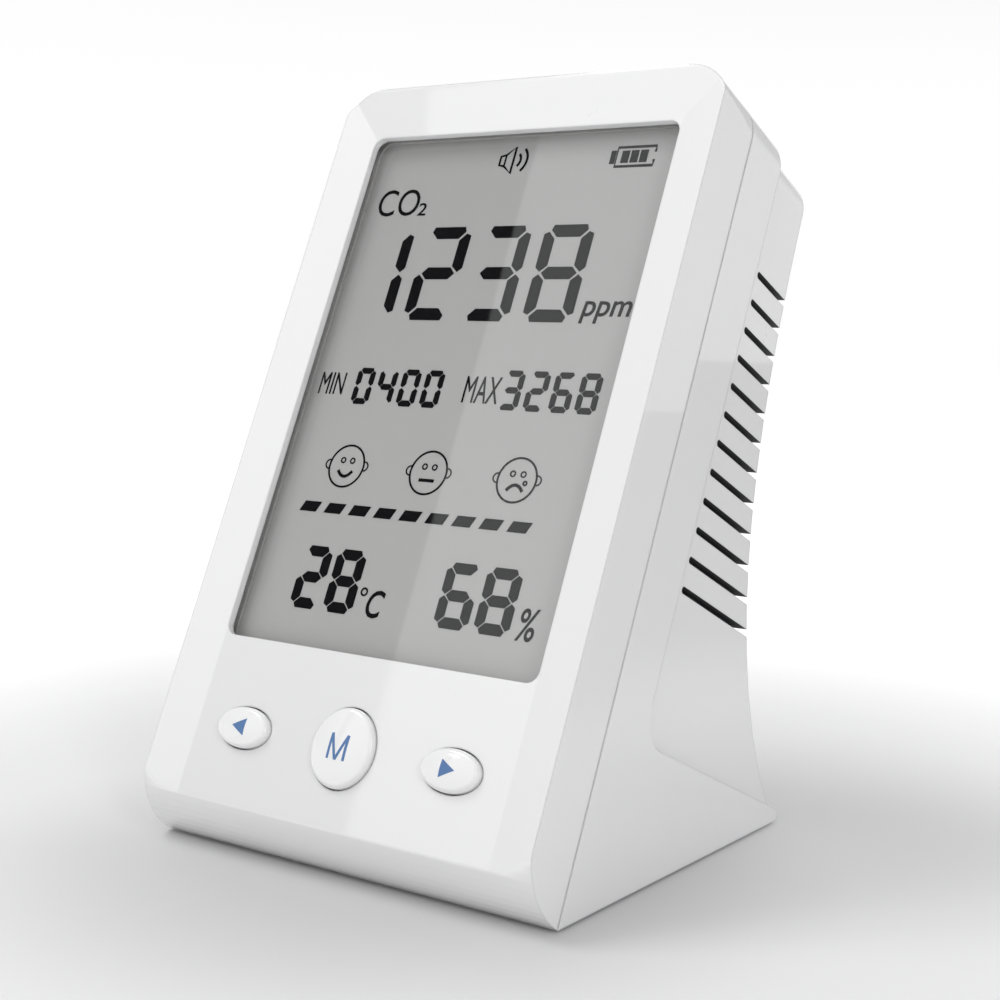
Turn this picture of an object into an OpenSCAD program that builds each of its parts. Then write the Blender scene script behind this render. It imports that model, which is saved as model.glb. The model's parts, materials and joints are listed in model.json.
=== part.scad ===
// Desktop carbon dioxide monitor: a leaning front slab with a large display,
// three keys under it, and a narrower rear housing that sweeps out into a foot.
// X is to the right, Y to the back and Z up. Inside a slab() call the axes lean
// with the display: x across it, y into its depth and z up its face.

/* [Body] */
// Width of the body
body_w = 75; // [70:0.5:100]
// Length of the front face, from the resting plane up the slope
slab_len = 132.5; // [118:0.5:170]
// Lean of the display from the vertical, degrees
lean = 24; // [20:0.5:28]
// Depth of the front shell at the seam, behind the window plane
seam_w = 8.5; // [8:0.1:10]
// Depth of the slab's rear edge behind the window plane
slab_back_w = 19.2; // [17:0.1:24]
// Radius of the slab's two top corners
corner_r = 8; // [5:0.5:10]
// Wall thickness of both shells
wall = 2; // [1.4:0.1:2.4]
// Width of the groove along the seam
seam_gap = 0.3; // [0.2:0.05:0.5]

/* [Front] */
// Width of the sloping band on each side of the window
band_w = 7; // [5.5:0.1:9]
// Height of the sloping band above the window
top_band_h = 8; // [7.5:0.1:10]
// How far the bands' outer edge stands in front of the window plane
band_rise = 1.4; // [0.8:0.1:1.8]
// How far the front edges are set in from the sides at the seam
edge_set = 0.74; // [0.4:0.02:1]
// Height of the window's lower edge up the slope
window_bottom = 35.4; // [34:0.1:42]
// Radius of the window's corners
window_r = 2; // [1:0.1:3]
// Depth of the window's step, down to the lens
window_step = 1.2; // [0.8:0.1:1.6]
// Radius of the rounded nose at the bottom
nose_r = 12.5; // [11:0.1:14]
// Height up the slope at which the nose begins
nose_top = 12.3; // [11:0.1:13.5]

/* [Rear housing] */
// How far the housing is set in from the slab
inset = 1.5; // [1:0.1:3]
// Depth of the housing's back at its top, behind the window plane
back_w = 32.3; // [30:0.1:38]
// Height up the slope of the foot's upper edge
ledge_v = 32.8; // [30:0.1:36]
// Thickness of the foot's tip
tip_h = 2.1; // [1.6:0.1:3]
// Length of the housing's nearly straight upper back
sweep_straight = 41; // [30:1:50]
// Run of the sweep into the foot, up the slope
sweep_low_v = 19.5; // [14:0.5:22]
// Run of the sweep into the foot, in depth
sweep_low_w = 28.5; // [20:0.5:32]
// Number of vent slots down each side
vent_count = 12; // [6:1:13]
// Height of a vent slot
vent_h = 1.1; // [0.8:0.1:1.8]
// Distance from one vent slot to the next
vent_pitch = 4.73; // [4:0.01:5]
// Height up the slope of the lowest vent slot
vent_low_v = 57; // [54:0.5:62]
// Gap between the slab's rear edge and the vents' front ends
vent_margin = 3.7; // [2.5:0.1:5]

/* [Keys] */
// Width of the round mode key
mode_w = 11.3; // [9:0.1:13]
// Height of the round mode key
mode_h = 12.1; // [9:0.1:13]
// Width of an arrow key
arrow_w = 10.1; // [8:0.1:12]
// Height of an arrow key
arrow_h = 6.3; // [5:0.1:8]
// Distance of an arrow key from the middle
arrow_u = 19.8; // [17:0.1:22]
// Height of the keys up the slope
key_v = 21.4; // [20:0.1:24]
// How far a key's rim stands in front of the window plane
key_stand = 0.9; // [0.6:0.1:1.4]
// Gap between a key and its hole
key_gap = 0.2; // [0.15:0.05:0.3]
// Travel of a key
key_travel = 0.4; // [0.25:0.05:0.5]

/* [Display] */
// Thickness of the clear lens
lens_t = 1.2; // [0.8:0.1:1.5]
// Width of the lens's glued border behind the window's edge
lens_border = 1.8; // [1.2:0.1:2]
// Thickness of each display glass
glass_t = 0.7; // [0.5:0.1:0.8]
// Border of the display glass outside the window
glass_border = 1.2; // [0.8:0.1:1.5]
// Thickness of the light guide
guide_t = 1.8; // [1.2:0.1:2]
// Wall of the frame that holds the display
frame_wall = 1; // [0.8:0.1:1.2]

/* [Boards and cell] */
// Thickness of the circuit boards
board_t = 1.2; // [0.8:0.1:1.6]
// Depth of the main board's front, behind the window plane
board_w = 9.6; // [9.4:0.1:10.5]
// Diameter of the cell
cell_d = 18.4; // [14:0.1:18.5]
// Length of the cell
cell_len = 65; // [50:0.5:65]
// Length of the sensor chamber
chamber_len = 32; // [24:0.5:36]
// Diameter of a rubber foot
foot_d = 8; // [6:0.5:9]
// How far the feet stand below the shell
foot_stand = 0.4; // [0.3:0.1:1]

/* [Hidden] */
$fn = 48;
eps = 0.01;
fit = 0.1;
screw_fit = 0.03;

// Heights and places of the shells
half_w = body_w / 2;
front_half_w = half_w - edge_set;
sole_z = foot_stand;
seam_foot_v = (sole_z + seam_w * sin(lean)) / cos(lean);
seam_foot_y = seam_foot_v * sin(lean) + seam_w * cos(lean);
housing_top_v = slab_len - inset;
housing_half_w = half_w - inset;
ledge_end_w = (ledge_v * cos(lean) - sole_z - tip_h) / sin(lean);
tip_y = ledge_v * sin(lean) + ledge_end_w * cos(lean);
tip_r = tip_h / 2;
ledge_fillet = 5.5;
housing_corner_r = corner_r - inset;
back_end_z = sole_z + tip_h + 0.4;
back_end_y = tip_y - 0.1;

// Nose: an arc from the front line at nose_top to the seam's foot
nose_a = [nose_top * sin(lean) - band_rise * cos(lean), nose_top * cos(lean) + band_rise * sin(lean)];
nose_b = [seam_foot_y, sole_z];
nose_mid = (nose_a + nose_b) / 2;
nose_chord = norm(nose_b - nose_a);
nose_dir = (nose_b - nose_a) / nose_chord;
nose_c = nose_mid + sqrt(nose_r * nose_r - nose_chord * nose_chord / 4) * [-nose_dir[1], nose_dir[0]];

// Middle of the whole part from front to back, which is put over the origin
front_y = nose_c[0] - nose_r;
rear_y = housing_top_v * sin(lean) + back_w * cos(lean);
middle_y = (front_y + rear_y) / 2;

// Window and display stack, each place a depth behind the window plane
window_half_w = front_half_w - band_w;
window_top = slab_len - edge_set - top_band_h;
window_h = window_top - window_bottom;
lens_w0 = window_step;
gasket_w0 = lens_w0 + lens_t;
gasket_t = 0.5;
film_t = 0.2;
polariser_w0 = gasket_w0 + gasket_t;
front_glass_w0 = polariser_w0 + film_t;
rear_glass_w0 = front_glass_w0 + glass_t;
rear_polariser_w0 = rear_glass_w0 + glass_t;
diffuser_w0 = rear_polariser_w0 + film_t;
guide_w0 = diffuser_w0 + film_t;
reflector_w0 = guide_w0 + guide_t;
frame_back_w0 = reflector_w0 + film_t;
frame_w0 = front_glass_w0;
glass_half_w = window_half_w + glass_border;
glass_bottom = window_bottom - glass_border;
glass_top = window_top + glass_border;
contact_ledge = 2;
frame_half_w = glass_half_w + frame_wall + fit;
frame_bottom = glass_bottom - contact_ledge - frame_wall - fit;
frame_top = glass_top + frame_wall + fit;
front_wall_w = gasket_w0 + fit;

// Main board and what stands on it
board_half_w = half_w - wall - 0.8;
board_top = slab_len - wall - 0.3;
board_back_w = board_w + board_t;
board_screw_r = 0.85;
board_head_r = 1.6;
post_r = 1.7;
top_post_v = slab_len - wall - post_r - 0.2;
top_post_u = board_half_w - 12;
low_post_v = key_v + 6.6;
low_post_u = board_half_w - 3.4;
board_posts = [
    [-top_post_u, top_post_v], [top_post_u, top_post_v],
    [-low_post_u, low_post_v], [low_post_u, low_post_v],
];

// Keys: centre, size of the head, and the switch behind
key_u = [-arrow_u, 0, arrow_u];
key_size = [[arrow_w, arrow_h], [mode_w, mode_h], [arrow_w, arrow_h]];
key_flange = 0.8;
key_flange_t = 0.9;
key_crown = 0.8;
switch_size = 6;
switch_t = 3.4;
plunger_r = 1.7;
switch_w0 = board_w - switch_t;
plunger_w0 = switch_w0 - key_travel - 0.3;

// Cell, lying across the foot
cell_r = cell_d / 2;
cell_floor_gap = 0.8;
rib_inset = 12;
rib_t = 2;
cell_z = sole_z + wall + cell_floor_gap + cell_r;
cell_y = seam_foot_y + wall + cell_r + 14;
pad_w = 8;

// Rubber feet
foot_t = 1.2;
foot_pocket = foot_t - foot_stand;
foot_inset = 9;
foot_u = half_w - foot_inset;
foot_front_run = 7;
foot_back_run = 13;
foot_front_y = seam_foot_y + foot_front_run;
foot_back_y = tip_y - foot_back_run;

// Case screws, up through the floor into the front shell's lugs
lug_u = half_w - 17;
lug_y = seam_foot_y + 6.5;
lug_w = 9;
lug_len = 5.5;
lug_h = 6;
lug_root = 1.6;
lug_low_z = sole_z + wall + 0.2;
board_bottom = level_v(lug_low_z + lug_h + 0.5, board_back_w);
hook_t = 1.3;
hook_low = slab_len - wall - fit - hook_t;
hook_u = 12;
hook_half = 3;
case_screw_r = 1.1;
case_screw_len = 6;
screw_head_r = 2;
screw_head_t = 1.2;

// Sensor module
sensor_board_half_w = 17;
sensor_board_h = 22;
sensor_v = vent_low_v + vent_pitch * (vent_count - 1) / 2 + 4;
sensor_board_w0 = board_back_w + 2.6;
chamber_w0 = sensor_board_w0 + board_t;
chamber_t = 8;
chamber_h = 18;
filter_t = 0.3;
pin_side = 0.6;
pin_pitch = 2.54;
pin_count = 5;

// Socket for charging, through the left side
usb_v = 47;
usb_w = 9;
usb_t = 3.3;
usb_len = 7.4;
usb_wall = 0.35;
usb_gap = 0.25;
usb_r = usb_t / 2 - eps;

// Leads from the cell to the main board: points chosen along the way
lead_r = 0.6;
lead_sides = 8;
socket_u = -20;
socket_v = 34;
socket_w = 6;
socket_t = 4.4;
socket_h = 4.2;

// Places the leaning slab: x across, y into the depth, z up the slope
module slab() {
    translate([0, -middle_y, 0]) rotate([-lean, 0, 0]) children();
}

// Box in the slab from (u0, w0, v0) to (u1, w1, v1)
module block(u0, u1, w0, w1, v0, v1) {
    translate([u0, w0, v0]) cube([u1 - u0, w1 - w0, v1 - v0]);
}

// Extrudes an outline drawn in [depth, height] across the width
module across(width) {
    rotate([90, 0, 90]) linear_extrude(width, center = true) children();
}

// Extrudes an outline drawn in [across, height] from depth w0 to w1
module into(w0, w1) {
    translate([0, w1, 0]) rotate([90, 0, 0]) linear_extrude(w1 - w0) children();
}

// Round bar along the slab's depth
module bar(u, v, w0, w1, r) {
    translate([u, w0, v]) rotate([-90, 0, 0]) cylinder(r = r, h = w1 - w0);
}

// A point of the upright side view, [back, up], as [depth, height] in the slab
function leaned(p) = [p[0] * cos(lean) - p[1] * sin(lean), p[0] * sin(lean) + p[1] * cos(lean)];

// The same for a level line at height z, at depth w in the slab
function level_v(z, w) = (z + w * sin(lean)) / cos(lean);

// Cubic curve with ends a and d and handles b and c
function curve(a, b, c, d, t) =
    pow(1 - t, 3) * a + 3 * pow(1 - t, 2) * t * b + 3 * (1 - t) * t * t * c + pow(t, 3) * d;
function curve_slope(a, b, c, d, t) =
    3 * pow(1 - t, 2) * (b - a) + 6 * (1 - t) * t * (c - b) + 3 * t * t * (d - c);

// The housing's back, [depth, height], moved inwards by t_in
sweep_steps = 14;
sweep_a = [back_w, housing_top_v];
sweep_d = leaned([back_end_y, back_end_z]);
sweep_b = sweep_a - [0, sweep_straight];
sweep_c = sweep_d + [-sweep_low_w, sweep_low_v];
function sweep_point(t, t_in) =
    let (d = curve_slope(sweep_a, sweep_b, sweep_c, sweep_d, t))
    curve(sweep_a, sweep_b, sweep_c, sweep_d, t) + t_in * [d[1], -d[0]] / norm(d);
function sweep(t_in) = [for (i = [0:sweep_steps]) sweep_point(i / sweep_steps, t_in)];

// Rectangle with its two upper corners rounded, reaching far down
module arch(half, top, r) {
    translate([-half, -10]) square([2 * half, top - r + 10]);
    translate([-half + r, top - r - eps]) square([2 * half - 2 * r, r + eps]);
    for (side = [-1, 1]) translate([side * (half - r), top - r]) circle(r);
}

// Rectangle with all corners rounded
module round_rect(half, low, high, r) {
    translate([-half + r, low]) square([2 * half - 2 * r, high - low]);
    translate([-half, low + r]) square([2 * half, high - low - 2 * r]);
    for (side = [-1, 1]) for (v = [low + r, high - r]) translate([side * (half - r), v]) circle(r);
}

// Ellipse as a smooth outline
module oval(w, h) {
    polygon([for (i = [0:59]) [w / 2 * cos(6 * i), h / 2 * sin(6 * i)]]);
}

// Side outline of the front shell, shrunk by t_in, with its front at depth front_at
module front_side(front_at, t_in, back_at) {
    low_front = level_v(sole_z + t_in, front_at);
    low_back = level_v(sole_z + t_in, back_at);
    top = slab_len - t_in;
    c = leaned(nose_c);
    dir_a = leaned(nose_a) - c;
    dir_b = leaned(nose_b) - c;
    difference() {
        polygon([[front_at, top], [back_at, top], [back_at, low_back], [front_at, low_front]]);
        difference() {
            polygon([c, c + dir_a * 3, c + (dir_a + dir_b) * 3, c + dir_b * 3]);
            translate(c) circle(nose_r - t_in, $fn = 96);
        }
    }
}

module front_shell() color("white") slab() {
    difference() {
        union() {
            difference() {
                // outer form with its sides set in towards the front
                intersection() {
                    across(body_w + 2) front_side(-band_rise, 0, seam_w - seam_gap);
                    into(-band_rise - 1, seam_w) arch(half_w, slab_len, corner_r);
                    translate([0, 0, -10]) linear_extrude(slab_len + 20) polygon([
                        [-half_w, seam_w], [half_w, seam_w],
                        [front_half_w, -band_rise], [-front_half_w, -band_rise],
                    ]);
                }
                // hollow
                difference() {
                    intersection() {
                        across(body_w + 2) front_side(front_wall_w, wall, seam_w + 1);
                        into(front_wall_w, seam_w + 1) arch(half_w - wall, slab_len - wall, corner_r - wall);
                    }
                    for (p = board_posts) bar(p[0], p[1], front_wall_w - eps, board_w, post_r);
                }
                // dished front, between the sloping bands
                intersection() {
                    translate([0, 0, -10]) linear_extrude(slab_len + 20) polygon([
                        [-window_half_w, 0], [window_half_w, 0],
                        [front_half_w + band_w, -2 * band_rise], [-front_half_w - band_w, -2 * band_rise],
                    ]);
                    across(2 * body_w) polygon([
                        [0, -10], [0, window_top],
                        [-2 * band_rise, window_top + 2 * top_band_h], [-2 * band_rise, -10],
                    ]);
                }
            }
            // posts reach back to the board
            for (p = board_posts) bar(p[0], p[1], front_wall_w - eps, board_w, post_r);
            // hooks along the top that hold the rear shell
            for (side = [-1, 1]) {
                block(side * hook_u - hook_half, side * hook_u + hook_half, seam_w - 4, seam_w + 2.5,
                    hook_low, hook_low + hook_t);
                block(side * hook_u - hook_half, side * hook_u + hook_half, seam_w - 4, seam_w - 1,
                    hook_low, slab_len - wall + 0.2);
            }
        }
        // window, and the pocket behind it for the lens
        into(-1, front_wall_w + 1) round_rect(window_half_w, window_bottom, window_top, window_r);
        into(window_step, front_wall_w + 1) round_rect(
            window_half_w + lens_border + fit, window_bottom - lens_border - fit,
            window_top + lens_border + fit, window_r);
        // holes for the keys
        for (i = [0:2]) into(-1, front_wall_w + 1) translate([key_u[i], key_v])
            oval(key_size[i][0] + 2 * key_gap, key_size[i][1] + 2 * key_gap);
        for (p = board_posts) bar(p[0], p[1], board_w - 4.5, board_w + 1, board_screw_r);
    }
    lugs();
}

// Lugs that reach back over the rear shell's floor and take the case screws
module lugs() {
    rotate([lean, 0, 0]) for (side = [-1, 1]) difference() {
        union() {
            translate([side * lug_u - lug_w / 2, lug_y - lug_len / 2, lug_low_z])
                cube([lug_w, lug_len, lug_h]);
            translate([side * lug_u - lug_w / 2, seam_foot_y - lug_root, lug_low_z])
                cube([lug_w, lug_y - seam_foot_y + lug_root, lug_h - 2]);
        }
        translate([side * lug_u, lug_y, sole_z])
            cylinder(r = case_screw_r + screw_fit, h = lug_h + wall + 1);
    }
}

// Side outline of the full-width slab and foot, shrunk by t_in
module foot_side(t_in, front_at) {
    back = slab_back_w - t_in;
    ledge = ledge_v - t_in;
    floor_z = sole_z + t_in;
    fillet = ledge_fillet + t_in;
    end_w = (ledge * cos(lean) - max(sole_z + tip_h, floor_z + 1)) / sin(lean);
    end_y = ledge * sin(lean) + end_w * cos(lean) - 0.3;
    difference() {
        union() {
            polygon([
                [front_at, slab_len - t_in], [back, slab_len - t_in],
                [back, ledge + fillet], [back + fillet, ledge],
                [end_w, ledge], leaned([end_y, floor_z]),
                [front_at, level_v(floor_z, front_at)],
            ]);
            polygon([[back, ledge + fillet], [back, ledge - 5], [back + fillet, ledge - 5], [back + fillet, ledge]]);
            if (t_in == 0) translate(leaned([end_y, sole_z + tip_r])) circle(tip_r);
        }
        translate([back + fillet, ledge + fillet]) circle(fillet, $fn = 64);
    }
}

// Side outline of the rear housing, shrunk by t_in, ending just above the foot's own floor
module housing_side(t_in, front_at) {
    points = sweep(t_in);
    low_z = sole_z + max(tip_r, t_in + 0.5);
    polygon(concat(
        [[front_at, housing_top_v - t_in], [points[0][0], housing_top_v - t_in]],
        [for (p = points) if (p[1] < housing_top_v - t_in - eps && level_v(low_z + 0.2, p[0]) < p[1]) p],
        [leaned([back_end_y - t_in, low_z])],
        [[front_at, level_v(low_z, front_at)]]
    ));
}

// One vent slot through both sides and round the housing's rear corners
module vent(v) {
    front = slab_back_w + vent_margin;
    for (side = [-1, 1]) {
        block(min(side * half_w, side * (housing_half_w - wall - 1)),
            max(side * half_w, side * (housing_half_w - wall - 1)),
            front, back_w + 40, v - vent_h / 2, v + vent_h / 2);
        translate([side * (housing_half_w - wall - 1), front, v]) rotate([0, side * 90, 0])
            cylinder(r = vent_h / 2, h = wall + 1 + inset, $fn = 24);
    }
}

module rear_shell() color("white") {
    slab() {
        difference() {
            union() {
                intersection() {
                    across(body_w + 2) foot_side(0, seam_w);
                    into(seam_w - 1, 100) arch(half_w, slab_len, corner_r);
                }
                intersection() {
                    across(body_w + 2) housing_side(0, seam_w + 1);
                    into(seam_w, 100) arch(housing_half_w, housing_top_v, housing_corner_r);
                }
            }
            // hollow of the slab and foot
            intersection() {
                across(body_w + 2) foot_side(wall, seam_w - 1);
                into(seam_w - 2, 100) arch(half_w - wall, slab_len - wall, corner_r - wall);
            }
            // hollow of the housing
            intersection() {
                across(body_w + 2) housing_side(wall, seam_w + 1);
                into(seam_w, 100)
                    arch(housing_half_w - wall, housing_top_v - wall, housing_corner_r - wall);
            }
            for (i = [0:vent_count - 1]) vent(vent_low_v + i * vent_pitch);
            // mouth of the charging socket
            usb_form(-half_w - 1, -half_w + wall + 1, usb_gap);
            // pockets for the feet and holes for the case screws
            rotate([lean, 0, 0]) {
                for (side = [-1, 1]) {
                    for (y = [foot_front_y, foot_back_y]) translate([side * foot_u, y, sole_z - 1])
                        cylinder(d = foot_d + 2 * fit, h = foot_pocket + 1);
                    translate([side * lug_u, lug_y, sole_z - 1])
                        cylinder(r = case_screw_r + fit, h = wall + 2);
                    translate([side * lug_u, lug_y, sole_z - 1])
                        cylinder(r = screw_head_r + fit, h = screw_head_t + 1);
                }
            }
        }
        cell_cradle();
    }
}

// Ribs that hold the cell from below
module cell_cradle() {
    rotate([lean, 0, 0]) for (side = [-1, 1]) difference() {
        translate([side * (cell_len / 2 - rib_inset) - rib_t / 2, cell_y - cell_r - 1, sole_z + wall - eps])
            cube([rib_t, cell_d + 2, cell_floor_gap + cell_r * 0.7]);
        translate([0, cell_y, cell_z]) rotate([0, 90, 0])
            cylinder(r = cell_r + fit / 2, h = cell_len + 20, center = true, $fn = 96);
    }
}

module rubber_feet() color("dimgray") translate([0, -middle_y, 0]) {
    for (side = [-1, 1]) for (y = [foot_front_y, foot_back_y])
        translate([side * foot_u, y, 0]) cylinder(d = foot_d, h = foot_t);
}

module case_screws() color("silver") translate([0, -middle_y, sole_z]) {
    for (side = [-1, 1]) translate([side * lug_u, lug_y, 0]) difference() {
        union() {
            cylinder(r = screw_head_r, h = screw_head_t - fit / 2);
            cylinder(r = case_screw_r, h = screw_head_t + case_screw_len);
        }
        for (turn = [0, 90]) rotate(turn) translate([-1.2, -0.3, -1]) cube([2.4, 0.6, 1.6]);
    }
}

// Mesh screen that lines the vents on both sides, inside the housing
module dust_screen() color("gray") slab() {
    screen_t = 0.4;
    screen_margin = 3;
    low = vent_low_v - screen_margin;
    high = vent_low_v + (vent_count - 1) * vent_pitch + screen_margin;
    front = slab_back_w + vent_margin - 2;
    for (side = [-1, 1]) {
        u = side * (housing_half_w - wall - fit - screen_t / 2);
        block(u - screen_t / 2, u + screen_t / 2, front, back_w - wall - 2, low, high);
    }
}

// Head, flange and stem of one key
module key(i) color("white") slab() translate([key_u[i], 0, key_v]) {
    w = key_size[i][0];
    h = key_size[i][1];
    reach = max(w, h) / 2;
    crown_r = (reach * reach + key_crown * key_crown) / (2 * key_crown);
    intersection() {
        into(-key_stand - key_crown, front_wall_w + fit) oval(w, h);
        translate([0, crown_r - key_stand - key_crown, 0]) sphere(crown_r, $fn = 120);
    }
    into(front_wall_w + fit / 2, front_wall_w + fit / 2 + key_flange_t)
        oval(w + 2 * key_gap + 2 * key_flange, h + 2 * key_gap + 2 * key_flange);
    bar(0, 0, front_wall_w + fit, plunger_w0, 1.5);
}

// Body of one switch, with the hole that its plunger slides in
module switch_body(i) color("dimgray") slab() translate([key_u[i], 0, key_v]) {
    half = switch_size / 2;
    leg_out = 1.2;
    leg_half = 0.35;
    leg_v = 2.25;
    difference() {
        block(-half, half, switch_w0, board_w, -half, half);
        bar(0, 0, switch_w0 - 1, board_w - 1, plunger_r + fit / 2);
    }
    for (side = [-1, 1]) for (end = [-1, 1])
        block(min(side * half, side * (half + leg_out)), max(side * half, side * (half + leg_out)),
            board_w - 0.3, board_w, end * leg_v - leg_half, end * leg_v + leg_half);
}

module plunger(i) color("black") slab()
    bar(key_u[i], key_v, plunger_w0, board_w - 1 - key_travel - fit, plunger_r);

module left_button() key(0);
module mode_button() key(1);
module right_button() key(2);
module left_switch() switch_body(0);
module mode_switch() switch_body(1);
module right_switch() switch_body(2);
module left_plunger() plunger(0);
module mode_plunger() plunger(1);
module right_plunger() plunger(2);

// Flat sheet of the display stack
module sheet(w0, thick, half, low, high) {
    slab() block(-half, half, w0, w0 + thick, low, high);
}

module display_window() color("lightcyan", 0.4) slab()
    into(lens_w0, lens_w0 + lens_t)
        round_rect(window_half_w + lens_border, window_bottom - lens_border,
            window_top + lens_border, window_r);

module window_gasket() color("black") slab() difference() {
    into(gasket_w0, gasket_w0 + gasket_t)
        round_rect(window_half_w + lens_border - fit, window_bottom - lens_border + fit,
            window_top + lens_border - fit, window_r);
    into(gasket_w0 - 1, gasket_w0 + 1)
        round_rect(window_half_w + 0.3, window_bottom - 0.3, window_top + 0.3, window_r);
}

module front_polariser() color("lightgray")
    sheet(polariser_w0, film_t, glass_half_w - 0.5, glass_bottom + 0.5, glass_top - 0.5);
module front_glass() color("lightgray", 0.5)
    sheet(front_glass_w0, glass_t, glass_half_w, glass_bottom, glass_top);
module rear_glass() color("lightgray", 0.5)
    sheet(rear_glass_w0, glass_t, glass_half_w, glass_bottom - contact_ledge, glass_top);
module rear_polariser() color("gray")
    sheet(rear_polariser_w0, film_t, glass_half_w - 0.5, glass_bottom + 0.5, glass_top - 0.5);
module diffuser_sheet() color("white")
    sheet(diffuser_w0, film_t, glass_half_w - 0.5, glass_bottom + 0.5, glass_top - 0.5);
module light_guide() color("lightcyan", 0.6)
    sheet(guide_w0, guide_t, glass_half_w - 0.5, glass_bottom + 1.6, glass_top - 0.5);
module reflector_sheet() color("white")
    sheet(reflector_w0, film_t, glass_half_w - 0.5, glass_bottom + 0.5, glass_top - 0.5);

// Open tray round the display glass, with feet that stand on the main board
module display_frame() color("ivory") slab() {
    difference() {
        block(-frame_half_w, frame_half_w, frame_w0, board_w, frame_bottom, frame_top);
        block(-glass_half_w - fit / 2, glass_half_w + fit / 2, frame_w0 - 1, frame_back_w0,
            glass_bottom - contact_ledge - fit / 2, glass_top + fit / 2);
        block(-glass_half_w + 2, glass_half_w - 2, frame_w0 - 1, board_w + 1,
            glass_bottom + 2, glass_top - 2);
        block(-glass_half_w, glass_half_w, frame_w0 - 1, board_w + 1,
            glass_bottom - contact_ledge, glass_bottom - 0.2);
    }
}

module backlight_strip() color("seagreen") slab()
    block(-glass_half_w + 4, glass_half_w - 4, guide_w0 + guide_t - 0.3, guide_w0 + guide_t,
        glass_bottom + 0.1, glass_bottom + 1.55);

led_count = 4;
module backlight_leds() color("khaki") slab()
    for (i = [0:led_count - 1]) {
        u = (i - (led_count - 1) / 2) * glass_half_w * 2 / (led_count + 1);
        block(u - 1.5, u + 1.5, guide_w0 + 0.2, guide_w0 + guide_t - 0.3,
            glass_bottom + 0.3, glass_bottom + 1.55);
    }

// Elastomer strip that joins the rear glass to the main board
module contact_strip() color("hotpink") slab()
    block(-glass_half_w + 2, glass_half_w - 2, rear_polariser_w0, board_w,
        glass_bottom - contact_ledge + 0.1, glass_bottom - 0.4);

module main_board() color("seagreen") slab() difference() {
    into(board_w, board_back_w) intersection() {
        round_rect(board_half_w, board_bottom, board_top, 1.5);
        arch(board_half_w, board_top, corner_r - wall);
    }
    for (p = board_posts) bar(p[0], p[1], board_w - 1, board_back_w + 1, board_screw_r + fit);
    for (side = [-1, 1])
        block(side * hook_u - hook_half - 0.3, side * hook_u + hook_half + 0.3,
            board_w - 1, board_back_w + 1, hook_low - 0.3, board_top + 1);
}

module board_screws() color("silver") slab() for (p = board_posts) difference() {
    union() {
        bar(p[0], p[1], board_back_w, board_back_w + 1, board_head_r);
        bar(p[0], p[1], board_w - 4, board_back_w + 0.5, board_screw_r - screw_fit);
    }
    for (turn = [0, 90]) translate([p[0], board_back_w + 1.5, p[1]]) rotate([0, turn, 0])
        cube([2, 2, 0.45], center = true);
}

// Chip with a row of legs on each long side, on the back of the main board
module chip(u, v, w, h, thick, legs) {
    pitch = h / legs;
    block(u - w / 2, u + w / 2, board_back_w + 0.1, board_back_w + thick, v - h / 2, v + h / 2);
    for (i = [0:legs - 1]) block(u - w / 2 - 1, u + w / 2 + 1, board_back_w, board_back_w + 0.3,
        v - h / 2 + (i + 0.3) * pitch, v - h / 2 + (i + 0.7) * pitch);
}

chip_v = ledge_v + 12;
buzzer_u = 24;
module microcontroller() color("black") slab() chip(6, chip_v + 8, 9, 10, 1.5, 12);
module charger_chip() color("black") slab() chip(-18, usb_v + 12, 4, 5, 1.4, 4);

module clock_crystal() color("silver") slab() {
    for (end = [-1, 1]) bar(18, chip_v + 8 + end * 2, board_back_w, board_back_w + 3, 1.4);
    block(16.6, 19.4, board_back_w, board_back_w + 3, chip_v + 6, chip_v + 10);
}

// Rows of resistors and capacitors on the back of the main board
module small_components() color("tan") slab()
    for (i = [0:5]) for (j = [0:1])
        block(-4 + i * 3, -2.4 + i * 3, board_back_w, board_back_w + 0.6,
            chip_v - 3 + j * 2.4, chip_v - 2.2 + j * 2.4);

module buzzer() color("black") slab() difference() {
    bar(buzzer_u, chip_v, board_back_w, board_back_w + 5, 4.5);
    bar(buzzer_u, chip_v, board_back_w + 4, board_back_w + 6, 0.8);
}

// Rounded slot form of the charging socket from u0 to u1, grown by gap
module usb_form(u0, u1, gap) {
    r = usb_r + gap;
    w_mid = board_back_w + usb_t / 2;
    reach = usb_w / 2 - usb_r;
    block(u0, u1, w_mid - r, w_mid + r, usb_v - reach, usb_v + reach);
    for (end = [-1, 1]) translate([u0, w_mid, usb_v + end * reach]) rotate([0, 90, 0])
        cylinder(r = r, h = u1 - u0);
}

module usb_socket() color("silver") slab() {
    mouth = -half_w + 0.4;
    difference() {
        usb_form(mouth, mouth + usb_len, 0);
        usb_form(mouth - 1, mouth + usb_len - 1, -usb_wall);
    }
    block(mouth + 1, mouth + usb_len - 0.5, board_back_w + usb_t / 2 - 0.35,
        board_back_w + usb_t / 2 + 0.35, usb_v - 3, usb_v + 3);
}

module battery_socket() color("ivory") slab() difference() {
    block(socket_u - socket_w / 2, socket_u + socket_w / 2, board_back_w, board_back_w + socket_t,
        socket_v, socket_v + socket_h);
    block(socket_u - socket_w / 2 + 0.8, socket_u + socket_w / 2 - 0.8,
        board_back_w + 0.8, board_back_w + socket_t - 0.8, socket_v - 1, socket_v + socket_h - 1);
}

module battery_plug() color("ivory") slab()
    block(socket_u - socket_w / 2 + 0.85, socket_u + socket_w / 2 - 0.85,
        board_back_w + 0.85, board_back_w + socket_t - 0.85, socket_v - 3, socket_v + socket_h - 1.05);

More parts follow.
